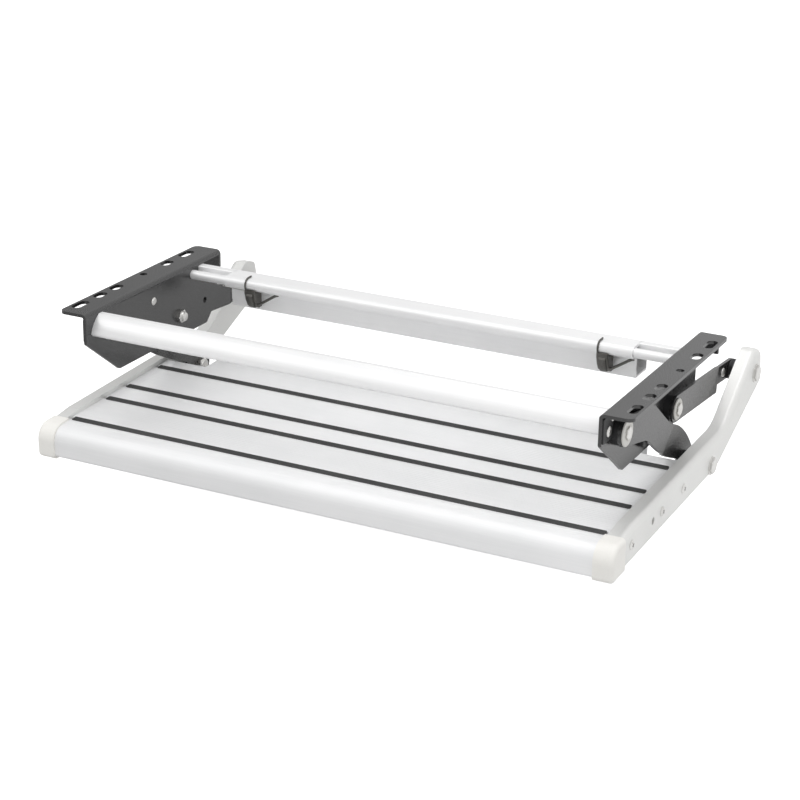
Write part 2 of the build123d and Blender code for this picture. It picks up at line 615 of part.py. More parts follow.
# Rear link: plate cranked inward and narrowed behind its crease, hub on B, riveted pin on D
with BuildPart() as rear_link_right:
    with BuildSketch(turned_side(INNER_LAYER_X, PIVOT_B, REAR_LINK_ANGLE)) as rear_link_outline:
        Circle(REAR_HUB_R)
        with BuildLine():
            Polyline((0, REAR_HUB_R), (REAR_LINK_NECK_AT[0], REAR_LINK_TOP),
                     (REAR_LINK_NECK_AT[1], REAR_LINK_NECK_TOP), (REAR_LINK_LENGTH, REAR_EYE_R),
                     (REAR_LINK_LENGTH, REAR_LINK_NECK_BOTTOM), (REAR_LINK_NECK_AT[1], REAR_LINK_NECK_BOTTOM),
                     (REAR_LINK_NECK_AT[0], REAR_LINK_BOTTOM), (0, -REAR_HUB_R), close=True)
        make_face()
        with Locations((REAR_LINK_LENGTH, 0)):
            Circle(REAR_EYE_R)
        for corner in ((REAR_LINK_NECK_AT[0], REAR_LINK_TOP), (REAR_LINK_NECK_AT[0], REAR_LINK_BOTTOM)):
            fillet(rear_link_outline.vertices().sort_by_distance(corner)[0], REAR_LINK_CORNER_R)
    extrude(amount=LINK_OUTER_X - INNER_LAYER_X)
    with BuildSketch(crease_plane(PIVOT_B, REAR_LINK_ANGLE)):
        with BuildLine():
            Polyline(*band_points(REAR_CREASE_AT, 2 * REAR_LINK_LENGTH), close=True)
        make_face()
    extrude(amount=REAR_LINK_LENGTH, both=True, mode=Mode.INTERSECT)
    with BuildSketch(turned_side(INNER_LAYER_X, PIVOT_B, REAR_LINK_ANGLE)):
        Circle(SLEEVE_R + RUN_FIT)
        with Locations(REAR_STUD_AT):
            Circle(REAR_STUD_R)
        with Locations((REAR_LINK_LENGTH, 0)):
            Circle(REAR_PIN_R)
    extrude(amount=LINK_OUTER_X - INNER_LAYER_X, mode=Mode.SUBTRACT)

with BuildPart() as rear_link_left:
    mirror(rear_link_right.part, about=Plane.YZ)

with BuildPart() as rear_link_pins:
    with BuildSketch(side(INNER_LAYER_X)):
        with Locations(PIVOT_D):
            Circle(PIN_HEAD_R)
    extrude(amount=-PIN_HEAD_T)
    with BuildSketch(side(INNER_LAYER_X)):
        with Locations(PIVOT_D):
            Circle(REAR_PIN_R)
    extrude(amount=LINK_T)
    with BuildSketch(side(INNER_LAYER_OUTER_X)):
        with Locations(PIVOT_D):
            Circle(REAR_PIN_COLLAR_R)
    extrude(amount=PANEL_HALF - OPEN_PIVOT_GAP - INNER_LAYER_OUTER_X)
    with BuildSketch(turned_side(INNER_LAYER_X, PIVOT_B, REAR_LINK_ANGLE)):
        with Locations(REAR_STUD_AT):
            Circle(REAR_STUD_R)
    extrude(amount=LINK_T)
    with BuildSketch(turned_side(INNER_LAYER_OUTER_X, PIVOT_B, REAR_LINK_ANGLE)):
        with Locations(REAR_STUD_AT):
            Circle(REAR_STUD_HEAD_R)
    extrude(amount=REAR_STUD_HEAD_T)
    mirror(about=Plane.YZ)

# Tread panel: hollow extrusion with a rounded nose, ribs, strip grooves, screw ports and cut rear corners
with BuildPart() as tread_panel:
    with BuildSketch(tread_side(-PANEL_HALF)):
        nose_outline(PANEL_REAR, 0)
        offset(amount=-PANEL_WALL, mode=Mode.SUBTRACT)
        with Locations(((OPEN_BAY_FRONT + OPEN_BAY_REAR) / 2, PANEL_WALL / 2 - PANEL_T)):
            Rectangle(OPEN_BAY_REAR - OPEN_BAY_FRONT, PANEL_WALL, mode=Mode.SUBTRACT)
        for rib_y in RIB_BACK:
            with Locations((rib_y, -PANEL_T / 2)):
                Rectangle(RIB_T, PANEL_T - PANEL_WALL)
        for strip_y in STRIP_BACK:
            with Locations((strip_y, -BOSS_T / 2)):
                Rectangle(STRIP_WIDTH + 2 * PANEL_WALL, BOSS_T)
            with Locations((strip_y, -GROOVE_DEPTH / 2)):
                Rectangle(STRIP_WIDTH, GROOVE_DEPTH, mode=Mode.SUBTRACT)
        for port_y, port_z in ARM_SCREW_AT:
            with Locations((port_y, port_z / 2)):
                Rectangle(PORT_WALL, -port_z)
            with Locations((port_y, port_z)):
                Circle(ARM_SCREW_R + PORT_WALL)
                Circle(ARM_SCREW_R, mode=Mode.SUBTRACT)
    extrude(amount=2 * PANEL_HALF)
    with BuildSketch(tread_top):
        with Locations((PANEL_NOTCH_X + PANEL_HALF / 2, PANEL_NOTCH_Y + PANEL_REAR / 2),
                       (-PANEL_NOTCH_X - PANEL_HALF / 2, PANEL_NOTCH_Y + PANEL_REAR / 2)):
            Rectangle(PANEL_HALF, PANEL_REAR)
    extrude(amount=-PANEL_T, mode=Mode.SUBTRACT)

with BuildPart() as grip_strips:
    with BuildSketch(tread_side(-STRIP_HALF)):
        with Locations([(strip_y, (STRIP_PROUD - GROOVE_DEPTH) / 2) for strip_y in STRIP_BACK]):
            Rectangle(STRIP_WIDTH - 2 * STRIP_FIT, STRIP_PROUD + GROOVE_DEPTH)
    extrude(amount=2 * STRIP_HALF)

# Side arm: bent bar with a rounded upper outer edge, flared towards its rear end
with BuildPart() as side_arm_right:
    with BuildSketch(tread_side(PANEL_HALF)) as arm_outline:
        with BuildLine():
            Polyline((ARM_FRONT, ARM_BOTTOM), (ARM_FRONT, ARM_FRONT_TOP),
                     (ARM_FRONT + ARM_FRONT_RAMP, ARM_TOP), (ARM_KNEE_TOP, ARM_TOP),
                     ARM_END_TOP, ARM_END_REAR_TOP, ARM_END_BOTTOM,
                     (ARM_KNEE_BOTTOM, ARM_BOTTOM), close=True)
        make_face()
        for knee in ((ARM_KNEE_TOP, ARM_TOP), (ARM_KNEE_BOTTOM, ARM_BOTTOM)):
            fillet(arm_outline.vertices().sort_by_distance(knee)[0], ARM_KNEE_R)
        for end_corner in (ARM_END_TOP, ARM_END_REAR_TOP, ARM_END_BOTTOM):
            fillet(arm_outline.vertices().sort_by_distance(end_corner)[0], ARM_END_R)
    extrude(amount=ARM_T)
    arm_face = side_arm_right.faces().sort_by(Axis.X)[-1]
    fillet(arm_face.edges().filter_by(is_upper_arm_edge), ARM_EDGE_R)
    with BuildSketch(tread_side(PANEL_HALF)):
        with Locations(C_LOCAL):
            Circle(TREAD_BOLT_R)
        with Locations(D_LOCAL):
            Circle(REAR_PIN_R)
        with Locations(*ARM_SCREW_AT):
            Circle(ARM_SCREW_R)
    extrude(amount=ARM_T, mode=Mode.SUBTRACT)
    with BuildSketch(tread_side(ARM_OUTER_X)):
        with Locations(ARM_HOLE_AT):
            Circle(ARM_HOLE_R)
    extrude(amount=-ARM_HOLE_DEPTH, mode=Mode.SUBTRACT)

with BuildPart() as side_arm_left:
    mirror(side_arm_right.part, about=Plane.YZ)

# Corner cap: moulded shell over the panel's nose and the front of the arm, with a tongue in the panel
with BuildPart() as corner_cap_right:
    with BuildSketch(tread_side(CAP_INNER_X)):
        nose_outline(ARM_FRONT, CAP_PROUD)
    extrude(amount=CAP_OUTER_X - CAP_INNER_X)
    cap_face = corner_cap_right.faces().sort_by(Axis.X)[-1]
    fillet(cap_face.edges().sort_by(Axis.Y)[:-1], CAP_RIM_R)
    with BuildSketch(tread_side(CAP_INNER_X)):
        nose_outline(ARM_FRONT, CAP_FIT)
    extrude(amount=CAP_OVERLAP, mode=Mode.SUBTRACT)
    with BuildSketch(tread_side(PANEL_HALF)):
        nose_outline(ARM_FRONT - CAP_WALL, CAP_PROUD - CAP_WALL)
    extrude(amount=ARM_T + CAP_OUT - CAP_WALL, mode=Mode.SUBTRACT)
    with BuildSketch(tread_side(CAP_OUTER_X - CAP_WALL)):
        with Locations(TONGUE_AT):
            Rectangle(*TONGUE_SIZE)
    extrude(amount=PANEL_HALF - TONGUE_LENGTH - CAP_OUTER_X + CAP_WALL)

with BuildPart() as corner_cap_left:
    mirror(corner_cap_right.part, about=Plane.YZ)

with BuildPart() as arm_screws:
    with BuildSketch(tread_side(ARM_OUTER_X)):
        with Locations(*ARM_SCREW_AT):
            Circle(ARM_SCREW_HEAD_R)
    extrude(amount=ARM_SCREW_HEAD_T)
    with BuildSketch(tread_side(ARM_OUTER_X)):
        with Locations(*ARM_SCREW_AT):
            Circle(ARM_SCREW_R)
    extrude(amount=-ARM_T - ARM_SCREW_DEPTH)
    mirror(about=Plane.YZ)

# Pivot C: bolt through the arm, the spacer and the front link's eye, with a nut inside
with BuildPart() as tread_pivot_bolts:
    with BuildSketch(tread_side(ARM_OUTER_X)):
        with Locations(C_LOCAL):
            RegularPolygon(ARM_BOLT_HEAD_R, 6)
    extrude(amount=ARM_BOLT_HEAD_T)
    with BuildSketch(tread_side(ARM_OUTER_X)):
        with Locations(C_LOCAL):
            Circle(TREAD_BOLT_R)
    extrude(amount=INNER_LAYER_X - LAYER_GAP - NUT_T - ARM_OUTER_X)
    mirror(about=Plane.YZ)

with BuildPart() as tread_pivot_spacers:
    with BuildSketch(tread_side(PANEL_HALF)):
        with Locations(C_LOCAL):
            Circle(TREAD_SPACER_R)
            Circle(TREAD_BOLT_R, mode=Mode.SUBTRACT)
    extrude(amount=-TREAD_SPACER_LENGTH)
    mirror(about=Plane.YZ)

with BuildPart() as tread_pivot_nuts:
    with BuildSketch(tread_side(INNER_LAYER_X - LAYER_GAP)):
        with Locations(C_LOCAL):
            RegularPolygon(TREAD_NUT_FLATS / 2, 6, major_radius=False)
            Circle(TREAD_BOLT_R, mode=Mode.SUBTRACT)
    extrude(amount=-NUT_T)
    mirror(about=Plane.YZ)

# Bolt through the rear end of each arm, in line with the rear link's pin
with BuildPart() as rear_arm_bolts:
    with BuildSketch(tread_side(ARM_OUTER_X)):
        with Locations(D_LOCAL):
            RegularPolygon(ARM_BOLT_HEAD_R, 6)
    extrude(amount=ARM_BOLT_HEAD_T)
    with BuildSketch(tread_side(ARM_OUTER_X)):
        with Locations(D_LOCAL):
            Circle(REAR_PIN_R)
    extrude(amount=OPEN_PIVOT_GAP - ARM_T)
    mirror(about=Plane.YZ)

pieces = {
    "bracket_left": bracket_left,
    "bracket_right": bracket_right,
    "front_crossbar": front_crossbar,
    "crossbar_end_plates": crossbar_end_plates,
    "crossbar_screws": crossbar_screws,
    "rear_rod": rear_rod,
    "rod_end_caps": rod_end_caps,
    "rear_channel": rear_channel,
    "spring_clips": spring_clips,
    "clip_wire_left": clip_wire_left,
    "clip_wire_right": clip_wire_right,
    "pivot_bushes": pivot_bushes,
    "pivot_washers": pivot_washers,
    "pivot_bolts": pivot_bolts,
    "pivot_nuts": pivot_nuts,
    "glide_buttons": glide_buttons,
    "web_rivets": web_rivets,
    "front_link_left": front_link_left,
    "front_link_right": front_link_right,
    "rear_link_left": rear_link_left,
    "rear_link_right": rear_link_right,
    "rear_link_pins": rear_link_pins,
    "tread_panel": tread_panel,
    "grip_strips": grip_strips,
    "side_arm_left": side_arm_left,
    "side_arm_right": side_arm_right,
    "corner_cap_left": corner_cap_left,
    "corner_cap_right": corner_cap_right,
    "arm_screws": arm_screws,
    "tread_pivot_bolts": tread_pivot_bolts,
    "tread_pivot_spacers": tread_pivot_spacers,
    "tread_pivot_nuts": tread_pivot_nuts,
    "rear_arm_bolts": rear_arm_bolts,
}

for label, piece in pieces.items():
    piece.part.label = label
    export_step(piece.part, f"parts/{label}.step")
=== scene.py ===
import json
from math import atan2, cos, hypot, pi, radians, sin

import bmesh
import bpy
from mathutils import Matrix, Vector


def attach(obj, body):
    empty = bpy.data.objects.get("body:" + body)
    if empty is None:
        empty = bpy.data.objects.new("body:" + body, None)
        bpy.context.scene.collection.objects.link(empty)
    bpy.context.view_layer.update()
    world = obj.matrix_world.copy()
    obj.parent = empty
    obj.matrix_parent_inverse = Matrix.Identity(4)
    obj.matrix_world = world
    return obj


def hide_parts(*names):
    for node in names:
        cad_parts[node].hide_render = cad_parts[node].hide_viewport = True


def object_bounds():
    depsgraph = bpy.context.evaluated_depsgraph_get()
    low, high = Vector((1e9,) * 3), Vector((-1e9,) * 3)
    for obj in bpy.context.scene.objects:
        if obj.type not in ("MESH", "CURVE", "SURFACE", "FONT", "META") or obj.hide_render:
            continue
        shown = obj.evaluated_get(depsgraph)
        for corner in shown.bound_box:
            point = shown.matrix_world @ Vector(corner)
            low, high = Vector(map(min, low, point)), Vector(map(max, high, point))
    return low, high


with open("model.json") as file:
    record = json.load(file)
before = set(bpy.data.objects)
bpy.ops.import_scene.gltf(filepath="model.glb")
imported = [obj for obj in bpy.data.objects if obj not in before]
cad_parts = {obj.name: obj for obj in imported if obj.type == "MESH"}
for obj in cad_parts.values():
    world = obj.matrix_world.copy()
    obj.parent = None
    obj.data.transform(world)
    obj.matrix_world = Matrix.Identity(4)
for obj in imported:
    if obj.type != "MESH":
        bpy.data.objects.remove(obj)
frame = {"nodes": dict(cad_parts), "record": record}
cad_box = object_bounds()
bpy.context.scene.view_settings.view_transform = "Standard"

# Camera: where the photograph was taken from, in the part's frame, in metres
TREAD_TILT = radians(1.867)
CAMERA_AT = Vector((0.8280, -1.6340, 0.6260))
CAMERA_YAW = radians(27.08)
CAMERA_PITCH = radians(22.63)
SENSOR = 36.0
FOCAL_PIXELS = 2194.86
FRAME_PIXELS = 800.0
SEEN_TO = 50.0


def camera_rotation():
    """Looks back to the left and down, level with the stowed tread."""
    level = Matrix.Rotation(TREAD_TILT, 3, "X")
    yaw = Matrix.Rotation(CAMERA_YAW, 3, "Z")
    pitch = Matrix.Rotation(pi / 2 - CAMERA_PITCH, 3, "X")
    return level @ yaw @ pitch


camera_data = bpy.data.cameras.new("camera")
camera_data.sensor_width = SENSOR
camera_data.lens = SENSOR * FOCAL_PIXELS / FRAME_PIXELS
camera_data.clip_end = SEEN_TO
camera = bpy.data.objects.new("camera", camera_data)
camera.matrix_world = Matrix.Translation(CAMERA_AT) @ camera_rotation().to_4x4()
bpy.context.scene.collection.objects.link(camera)
bpy.context.scene.camera = camera

# Places that the CAD model gives, in millimetres: side views are (Y, Z)
MM = 0.001
PIVOT_A = (-92.0, -25.5)
PIVOT_B = (27.5, -45.5)
PIVOT_C = (70.0, -109.0)
PIVOT_D = (179.0, -58.0)
WEB_INNER_X = 243.5
WEB_X = 246.5
END_PLATE_X = 247.7
LINK_BACK_X = 251.2
WASHER_X = 254.8
WASHER_OUTER_X = 256.3
PANEL_HALF = 260.0
ARM_OUTER_X = 275.0
ROD_AT = (51.0, -11.0)
BEAD_R = 5.7
TREAD_C_BACK = 200.5
TREAD_C_BELOW = 17.5
TREAD_ORIGIN = (PIVOT_C[0] - cos(TREAD_TILT) * TREAD_C_BACK - sin(TREAD_TILT) * TREAD_C_BELOW,
                PIVOT_C[1] - sin(TREAD_TILT) * TREAD_C_BACK + cos(TREAD_TILT) * TREAD_C_BELOW)


def on_tread(back, up):
    """Side view point of a place given along and above the tread's top."""
    return (TREAD_ORIGIN[0] + cos(TREAD_TILT) * back - sin(TREAD_TILT) * up,
            TREAD_ORIGIN[1] + sin(TREAD_TILT) * back + cos(TREAD_TILT) * up)


# Node materials
BROAD_SCALE = 14.0
BROAD_SHARE = 0.6
GRAIN_DETAIL = 3.0
MOTTLE_RANGE = (0.35, 0.65)
PATCH_SCALE = 160.0
PATCH_DETAIL = 4.0
PATCH_LEAST = 0.25
PATCH_RANGE = (0.4, 0.62)
EDGE_SAMPLES = 4
EDGE_RANGE = (0.8, 0.995)


def new_material(name):
    """Empty node material with its nodes, links and Principled shader."""
    material = bpy.data.materials.new(name)
    material.use_nodes = True
    nodes = material.node_tree.nodes
    return material, nodes, material.node_tree.links, nodes.get("Principled BSDF")


def maths(nodes, links, operation, first, second):
    """Math node on two values, each a socket or a number."""
    node = nodes.new("ShaderNodeMath")
    node.operation = operation
    for place, value in enumerate((first, second)):
        if isinstance(value, float):
            node.inputs[place].default_value = value
        else:
            links.new(value, node.inputs[place])
    return node.outputs[0]


def noise(nodes, links, coords, scale, detail, stretch=None):
    """Noise in object space, stretched along an axis when asked."""
    mapping = nodes.new("ShaderNodeMapping")
    if stretch:
        mapping.inputs["Scale"].default_value = stretch
    links.new(coords.outputs["Object"], mapping.inputs["Vector"])
    texture = nodes.new("ShaderNodeTexNoise")
    texture.inputs["Scale"].default_value = scale
    texture.inputs["Detail"].default_value = detail
    links.new(mapping.outputs["Vector"], texture.inputs["Vector"])
    return texture.outputs["Fac"]


def ranged(nodes, links, value, low, high, from_low=0.3, from_high=0.7):
    """Maps from_low..from_high to low..high."""
    mapped = nodes.new("ShaderNodeMapRange")
    mapped.inputs["From Min"].default_value = from_low
    mapped.inputs["From Max"].default_value = from_high
    mapped.inputs["To Min"].default_value = low
    mapped.inputs["To Max"].default_value = high
    links.new(value, mapped.inputs["Value"])
    return mapped.outputs["Result"]


def tinted(nodes, links, factor, dark, light):
    """Colour between two tones, each a socket or three numbers, by a factor."""
    mix = nodes.new("ShaderNodeMix")
    mix.data_type = "RGBA"
    for key, tone in (("A", dark), ("B", light)):
        socket = [s for s in mix.inputs if s.name == key and s.type == "RGBA"][0]
        if isinstance(tone, tuple):
            socket.default_value = (*tone, 1.0)
        else:
            links.new(tone, socket)
    links.new(factor, mix.inputs["Factor"])
    return [s for s in mix.outputs if s.type == "RGBA"][0]


def edge_mask(nodes, links, radius):
    """Near 1 along sharp edges, where the rounded normal leaves the true one."""
    bevel = nodes.new("ShaderNodeBevel")
    bevel.samples = EDGE_SAMPLES
    bevel.inputs["Radius"].default_value = radius
    geometry = nodes.new("ShaderNodeNewGeometry")
    dot = nodes.new("ShaderNodeVectorMath")
    dot.operation = "DOT_PRODUCT"
    links.new(bevel.outputs["Normal"], dot.inputs[0])
    links.new(geometry.outputs["Normal"], dot.inputs[1])
    return ranged(nodes, links, dot.outputs["Value"], 1.0, 0.0, *EDGE_RANGE)


def finish_material(name, dark, light, metallic, rough, grain, bump, depth=0.0001, stretch=None,
                    edge_wear_and_highlight=None, ior=1.5):
    """Two-tone finish: broad mottling, fine grain in roughness and bump, and paler edges that are partly
    wear and partly a painted edge highlight.

    The edge wear and highlight argument is the paler edges' tone, their width in metres and how strongly
    they show.
    """
    material, nodes, links, shader = new_material(name)
    coords = nodes.new("ShaderNodeTexCoord")
    broad = noise(nodes, links, coords, BROAD_SCALE, GRAIN_DETAIL)
    fine = noise(nodes, links, coords, grain, GRAIN_DETAIL, stretch)
    both = maths(nodes, links, "ADD", maths(nodes, links, "MULTIPLY", broad, BROAD_SHARE),
                 maths(nodes, links, "MULTIPLY", fine, 1.0 - BROAD_SHARE))
    colour = tinted(nodes, links, ranged(nodes, links, both, 0.0, 1.0, *MOTTLE_RANGE), dark, light)
    roughness = ranged(nodes, links, fine, rough[0], rough[1])
    # Paler edges: partly wear, partly a painted highlight along the edges
    if edge_wear_and_highlight:
        tone, radius, amount = edge_wear_and_highlight
        patches = noise(nodes, links, coords, PATCH_SCALE, PATCH_DETAIL)
        patches = ranged(nodes, links, patches, PATCH_LEAST, 1.0, *PATCH_RANGE)
        mask = maths(nodes, links, "MULTIPLY", edge_mask(nodes, links, radius), patches)
        mask = maths(nodes, links, "MULTIPLY", mask, amount)
        colour = tinted(nodes, links, mask, colour, tone)
    links.new(colour, shader.inputs["Base Color"])
    links.new(roughness, shader.inputs["Roughness"])
    shader.inputs["Metallic"].default_value = metallic
    shader.inputs["IOR"].default_value = ior
    bumped = nodes.new("ShaderNodeBump")
    bumped.inputs["Strength"].default_value = bump
    bumped.inputs["Distance"].default_value = depth
    links.new(fine, bumped.inputs["Height"])
    links.new(bumped.outputs["Normal"], shader.inputs["Normal"])
    return material


ALONG_X = (0.02, 1.0, 1.0)
# Each finish's edge triple paints paler edges, partly wear and partly a painted edge highlight
FINISHES = {
    "black_coat": dict(dark=(0.012, 0.012, 0.0125), light=(0.021, 0.0205, 0.021), metallic=0.0,
                       rough=(0.2, 0.32), grain=1400.0, bump=0.15,
                       edge_wear_and_highlight=((0.12, 0.117, 0.114), 0.0007, 0.5), ior=1.68),
    "extrusion": dict(dark=(0.89, 0.89, 0.895), light=(0.94, 0.94, 0.94), metallic=0.4,
                      rough=(0.28, 0.42), grain=900.0, bump=0.12, stretch=ALONG_X,
                      edge_wear_and_highlight=((0.96, 0.96, 0.96), 0.0006, 0.5)),
    "panel_alloy": dict(dark=(0.865, 0.87, 0.875), light=(0.92, 0.92, 0.925), metallic=0.25,
                        rough=(0.42, 0.56), grain=900.0, bump=0.15, stretch=ALONG_X,
                        edge_wear_and_highlight=((0.95, 0.95, 0.95), 0.0006, 0.5)),
    "arm_alloy": dict(dark=(0.75, 0.75, 0.735), light=(0.81, 0.81, 0.795), metallic=0.35,
                      rough=(0.38, 0.52), grain=900.0, bump=0.12,
                      edge_wear_and_highlight=((0.88, 0.88, 0.87), 0.0008, 0.5)),
    "bright_steel": dict(dark=(0.56, 0.55, 0.53), light=(0.68, 0.675, 0.66), metallic=1.0,
                         rough=(0.24, 0.38), grain=260.0, bump=0.04,
                         edge_wear_and_highlight=((0.9, 0.89, 0.87), 0.0004, 0.6)),
    "dark_steel": dict(dark=(0.085, 0.083, 0.077), light=(0.16, 0.156, 0.146), metallic=0.8,
                       rough=(0.34, 0.52), grain=700.0, bump=0.15,
                       edge_wear_and_highlight=((0.3, 0.29, 0.27), 0.0005, 0.6)),
    "black_plastic": dict(dark=(0.013, 0.013, 0.014), light=(0.022, 0.022, 0.023), metallic=0.0,
                          rough=(0.42, 0.58), grain=1600.0, bump=0.25),
    "pale_plastic": dict(dark=(0.6, 0.585, 0.55), light=(0.7, 0.69, 0.66), metallic=0.0,
                         rough=(0.36, 0.5), grain=900.0, bump=0.1),
    "ivory_plastic": dict(dark=(0.88, 0.865, 0.825), light=(0.93, 0.918, 0.882), metallic=0.0,
                          rough=(0.34, 0.48), grain=1100.0, bump=0.12),
    "grip_rubber": dict(dark=(0.035, 0.035, 0.036), light=(0.06, 0.06, 0.06), metallic=0.0,
                        rough=(0.6, 0.8), grain=1800.0, bump=0.4, depth=0.0002),
}
MATERIALS = {name: finish_material(name, **finish) for name, finish in FINISHES.items()}

# Studio: pale floor, even surroundings and three soft boxes
FLOOR_HALF = 6.0
FLOOR_GAP = 0.06
FLOOR_TONE = 0.6
FLOOR_ROUGHNESS = 0.9
FLOOR_SEEN = 0.85
FLOOR_MIRRORED = 0.5
FLOOR_MIRRORED_FROM = -0.15
FLOOR_MIRRORED_TO = 0.3
LEFT_DIMMED = 0.55
LEFT_FROM = -0.6
LEFT_TO = -0.25
WORLD_LIT = 0.78
KEY_AT = (0.1, -0.2, 3.1)
KEY_SIZE = 1.8
KEY_POWER = 25.0
FILL_AT = (2.2, -1.0, 1.5)
FILL_SIZE = 1.4
FILL_POWER = 6.0
FRONT_AT = (-1.7, -1.5, 2.3)
FRONT_SIZE = 1.6
FRONT_POWER = 8.0
TARGET = (0.0, 0.05, -0.06)


def build_floor(z):
    """Wide pale floor under the swung step, white to the camera, brighter in reflections on the right."""
    mesh = bpy.data.meshes.new("floor")
    corners = [(-FLOOR_HALF, -FLOOR_HALF, z), (FLOOR_HALF, -FLOOR_HALF, z),
               (FLOOR_HALF, FLOOR_HALF, z), (-FLOOR_HALF, FLOOR_HALF, z)]
    mesh.from_pydata(corners, [], [(0, 1, 2, 3)])
    floor = bpy.data.objects.new("floor", mesh)
    bpy.context.scene.collection.objects.link(floor)
    material, nodes, links, shader = new_material("floor_white")
    shader.inputs["Base Color"].default_value = (FLOOR_TONE, FLOOR_TONE, FLOOR_TONE, 1.0)
    shader.inputs["Roughness"].default_value = FLOOR_ROUGHNESS
    shader.inputs["Specular IOR Level"].default_value = 0.0
    shader.inputs["Emission Color"].default_value = (1.0, 1.0, 1.0, 1.0)
    rays = nodes.new("ShaderNodeLightPath")
    mirrored = maths(nodes, links, "MAXIMUM", rays.outputs["Is Glossy Ray"],
                     rays.outputs["Is Transmission Ray"])
    split = nodes.new("ShaderNodeSeparateXYZ")
    links.new(nodes.new("ShaderNodeTexCoord").outputs["Object"], split.inputs["Vector"])
    across = ranged(nodes, links, split.outputs["X"], 0.0, FLOOR_MIRRORED,
                    FLOOR_MIRRORED_FROM, FLOOR_MIRRORED_TO)
    lift = maths(nodes, links, "ADD",
                 maths(nodes, links, "MULTIPLY", rays.outputs["Is Camera Ray"], FLOOR_SEEN),
                 maths(nodes, links, "MULTIPLY", mirrored, across))
    links.new(lift, shader.inputs["Emission Strength"])
    mesh.materials.append(material)


def build_world():
    """Even pale surroundings, white to the camera and dimmer in reflections on the left."""
    world = bpy.data.worlds.new("studio")
    world.use_nodes = True
    bpy.context.scene.world = world
    nodes = world.node_tree.nodes
    links = world.node_tree.links
    background = nodes.get("Background")
    rays = nodes.new("ShaderNodeLightPath")
    seen = maths(nodes, links, "MAXIMUM", rays.outputs["Is Camera Ray"], rays.outputs["Is Glossy Ray"])
    seen = maths(nodes, links, "MAXIMUM", seen, rays.outputs["Is Transmission Ray"])
    strength = ranged(nodes, links, seen, WORLD_LIT, 1.0, 0.0, 1.0)
    split = nodes.new("ShaderNodeSeparateXYZ")
    links.new(nodes.new("ShaderNodeTexCoord").outputs["Generated"], split.inputs["Vector"])
    dimmed = ranged(nodes, links, split.outputs["X"], LEFT_DIMMED, 0.0, LEFT_FROM, LEFT_TO)
    dimmed = maths(nodes, links, "MULTIPLY", rays.outputs["Is Glossy Ray"], dimmed)
    background.inputs["Color"].default_value = (1.0, 1.0, 1.0, 1.0)
    links.new(maths(nodes, links, "SUBTRACT", strength, dimmed), background.inputs["Strength"])


def area_light(name, at, size, power):
    """Square soft box aimed at the step."""
    data = bpy.data.lights.new(name, "AREA")
    data.shape = "SQUARE"
    data.size = size
    data.energy = power
    light = bpy.data.objects.new(name, data)
    light.location = at
    light.rotation_mode = "QUATERNION"
    light.rotation_quaternion = (Vector(TARGET) - Vector(at)).to_track_quat("-Z", "Y")
    bpy.context.scene.collection.objects.link(light)


build_floor(cad_box[0].z - FLOOR_GAP)
build_world()
area_light("key", KEY_AT, KEY_SIZE, KEY_POWER)
area_light("fill", FILL_AT, FILL_SIZE, FILL_POWER)
area_light("front_left", FRONT_AT, FRONT_SIZE, FRONT_POWER)

# Mesh helpers, in millimetres
SHARP_OVER = radians(35.0)
KEPT_LEAST = 0.2
HEX_SEGMENTS = 48
HEX_CHAMFER = 0.036
HEX_CORNER_DIP = 0.225
HEX_CROWN = 0.46
HEX_DISH = 0.33
HEX_DISH_DEPTH = 0.25
WIRE_SEGMENTS = 12
OFF_WIRES = Vector((0.31, 0.2, 0.93))
# Turn and foot of the dark crosses that paint the shade inside screw recesses
RECESS_TURN = 0.4
RECESS_FOOT = 0.5


def finish_piece(name, bm, body, slot_name, stands_for=()):
    """Turn a bmesh in millimetres into a piece that rides a body and takes a slot's finish."""
    bmesh.ops.scale(bm, vec=(MM, MM, MM), verts=bm.verts)
    bmesh.ops.recalc_face_normals(bm, faces=bm.faces)
    mesh = bpy.data.meshes.new(name)
    bm.to_mesh(mesh)
    bm.free()
    mesh.shade_smooth()
    mesh.set_sharp_from_angle(angle=SHARP_OVER)
    piece = bpy.data.objects.new(name, mesh)
    bpy.context.scene.collection.objects.link(piece)
    mesh.materials.append(MATERIALS[slot_name])
    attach(piece, body)
    if stands_for:
        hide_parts(*stands_for)


def bridge(bm, rings):
    """Skin consecutive rings of equal length, and cap both ends."""
    count = len(rings[0])
    for first, second in zip(rings, rings[1:]):
        for i in range(count):
            j = (i + 1) % count
            bm.faces.new((first[i], first[j], second[j], second[i]))
    bm.faces.new(rings[0])
    bm.faces.new(tuple(reversed(rings[-1])))


def turned(bm, centre, steps, side, segments=32):
    """Solid of revolution about a line along X through centre: steps are (x, radius), x outwards."""
    rings = []
    for x, radius in steps:
        rings.append([bm.verts.new((side * x, centre[0] + radius * cos(2 * pi * i / segments),
                                    centre[1] + radius * sin(2 * pi * i / segments)))
                      for i in range(segments)])
    bridge(bm, rings)


def hex_ring(bm, centre, x, flats, side, turn, round_to=None, dip=0.0):
    """Ring on a hexagon, or clipped to a circle, whose corners may dip back from x."""
    ring = []
    for i in range(HEX_SEGMENTS):
        angle = 2 * pi * i / HEX_SEGMENTS
        away = (angle - turn) % (pi / 3) - pi / 6
        reach = flats / 2 / cos(away)
        drop = dip * (reach - flats / 2) / (flats / 2)
        if round_to:
            reach = min(reach, round_to)
        ring.append(bm.verts.new((side * (x - drop), centre[0] + reach * cos(angle),
                                  centre[1] + reach * sin(angle))))
    return ring


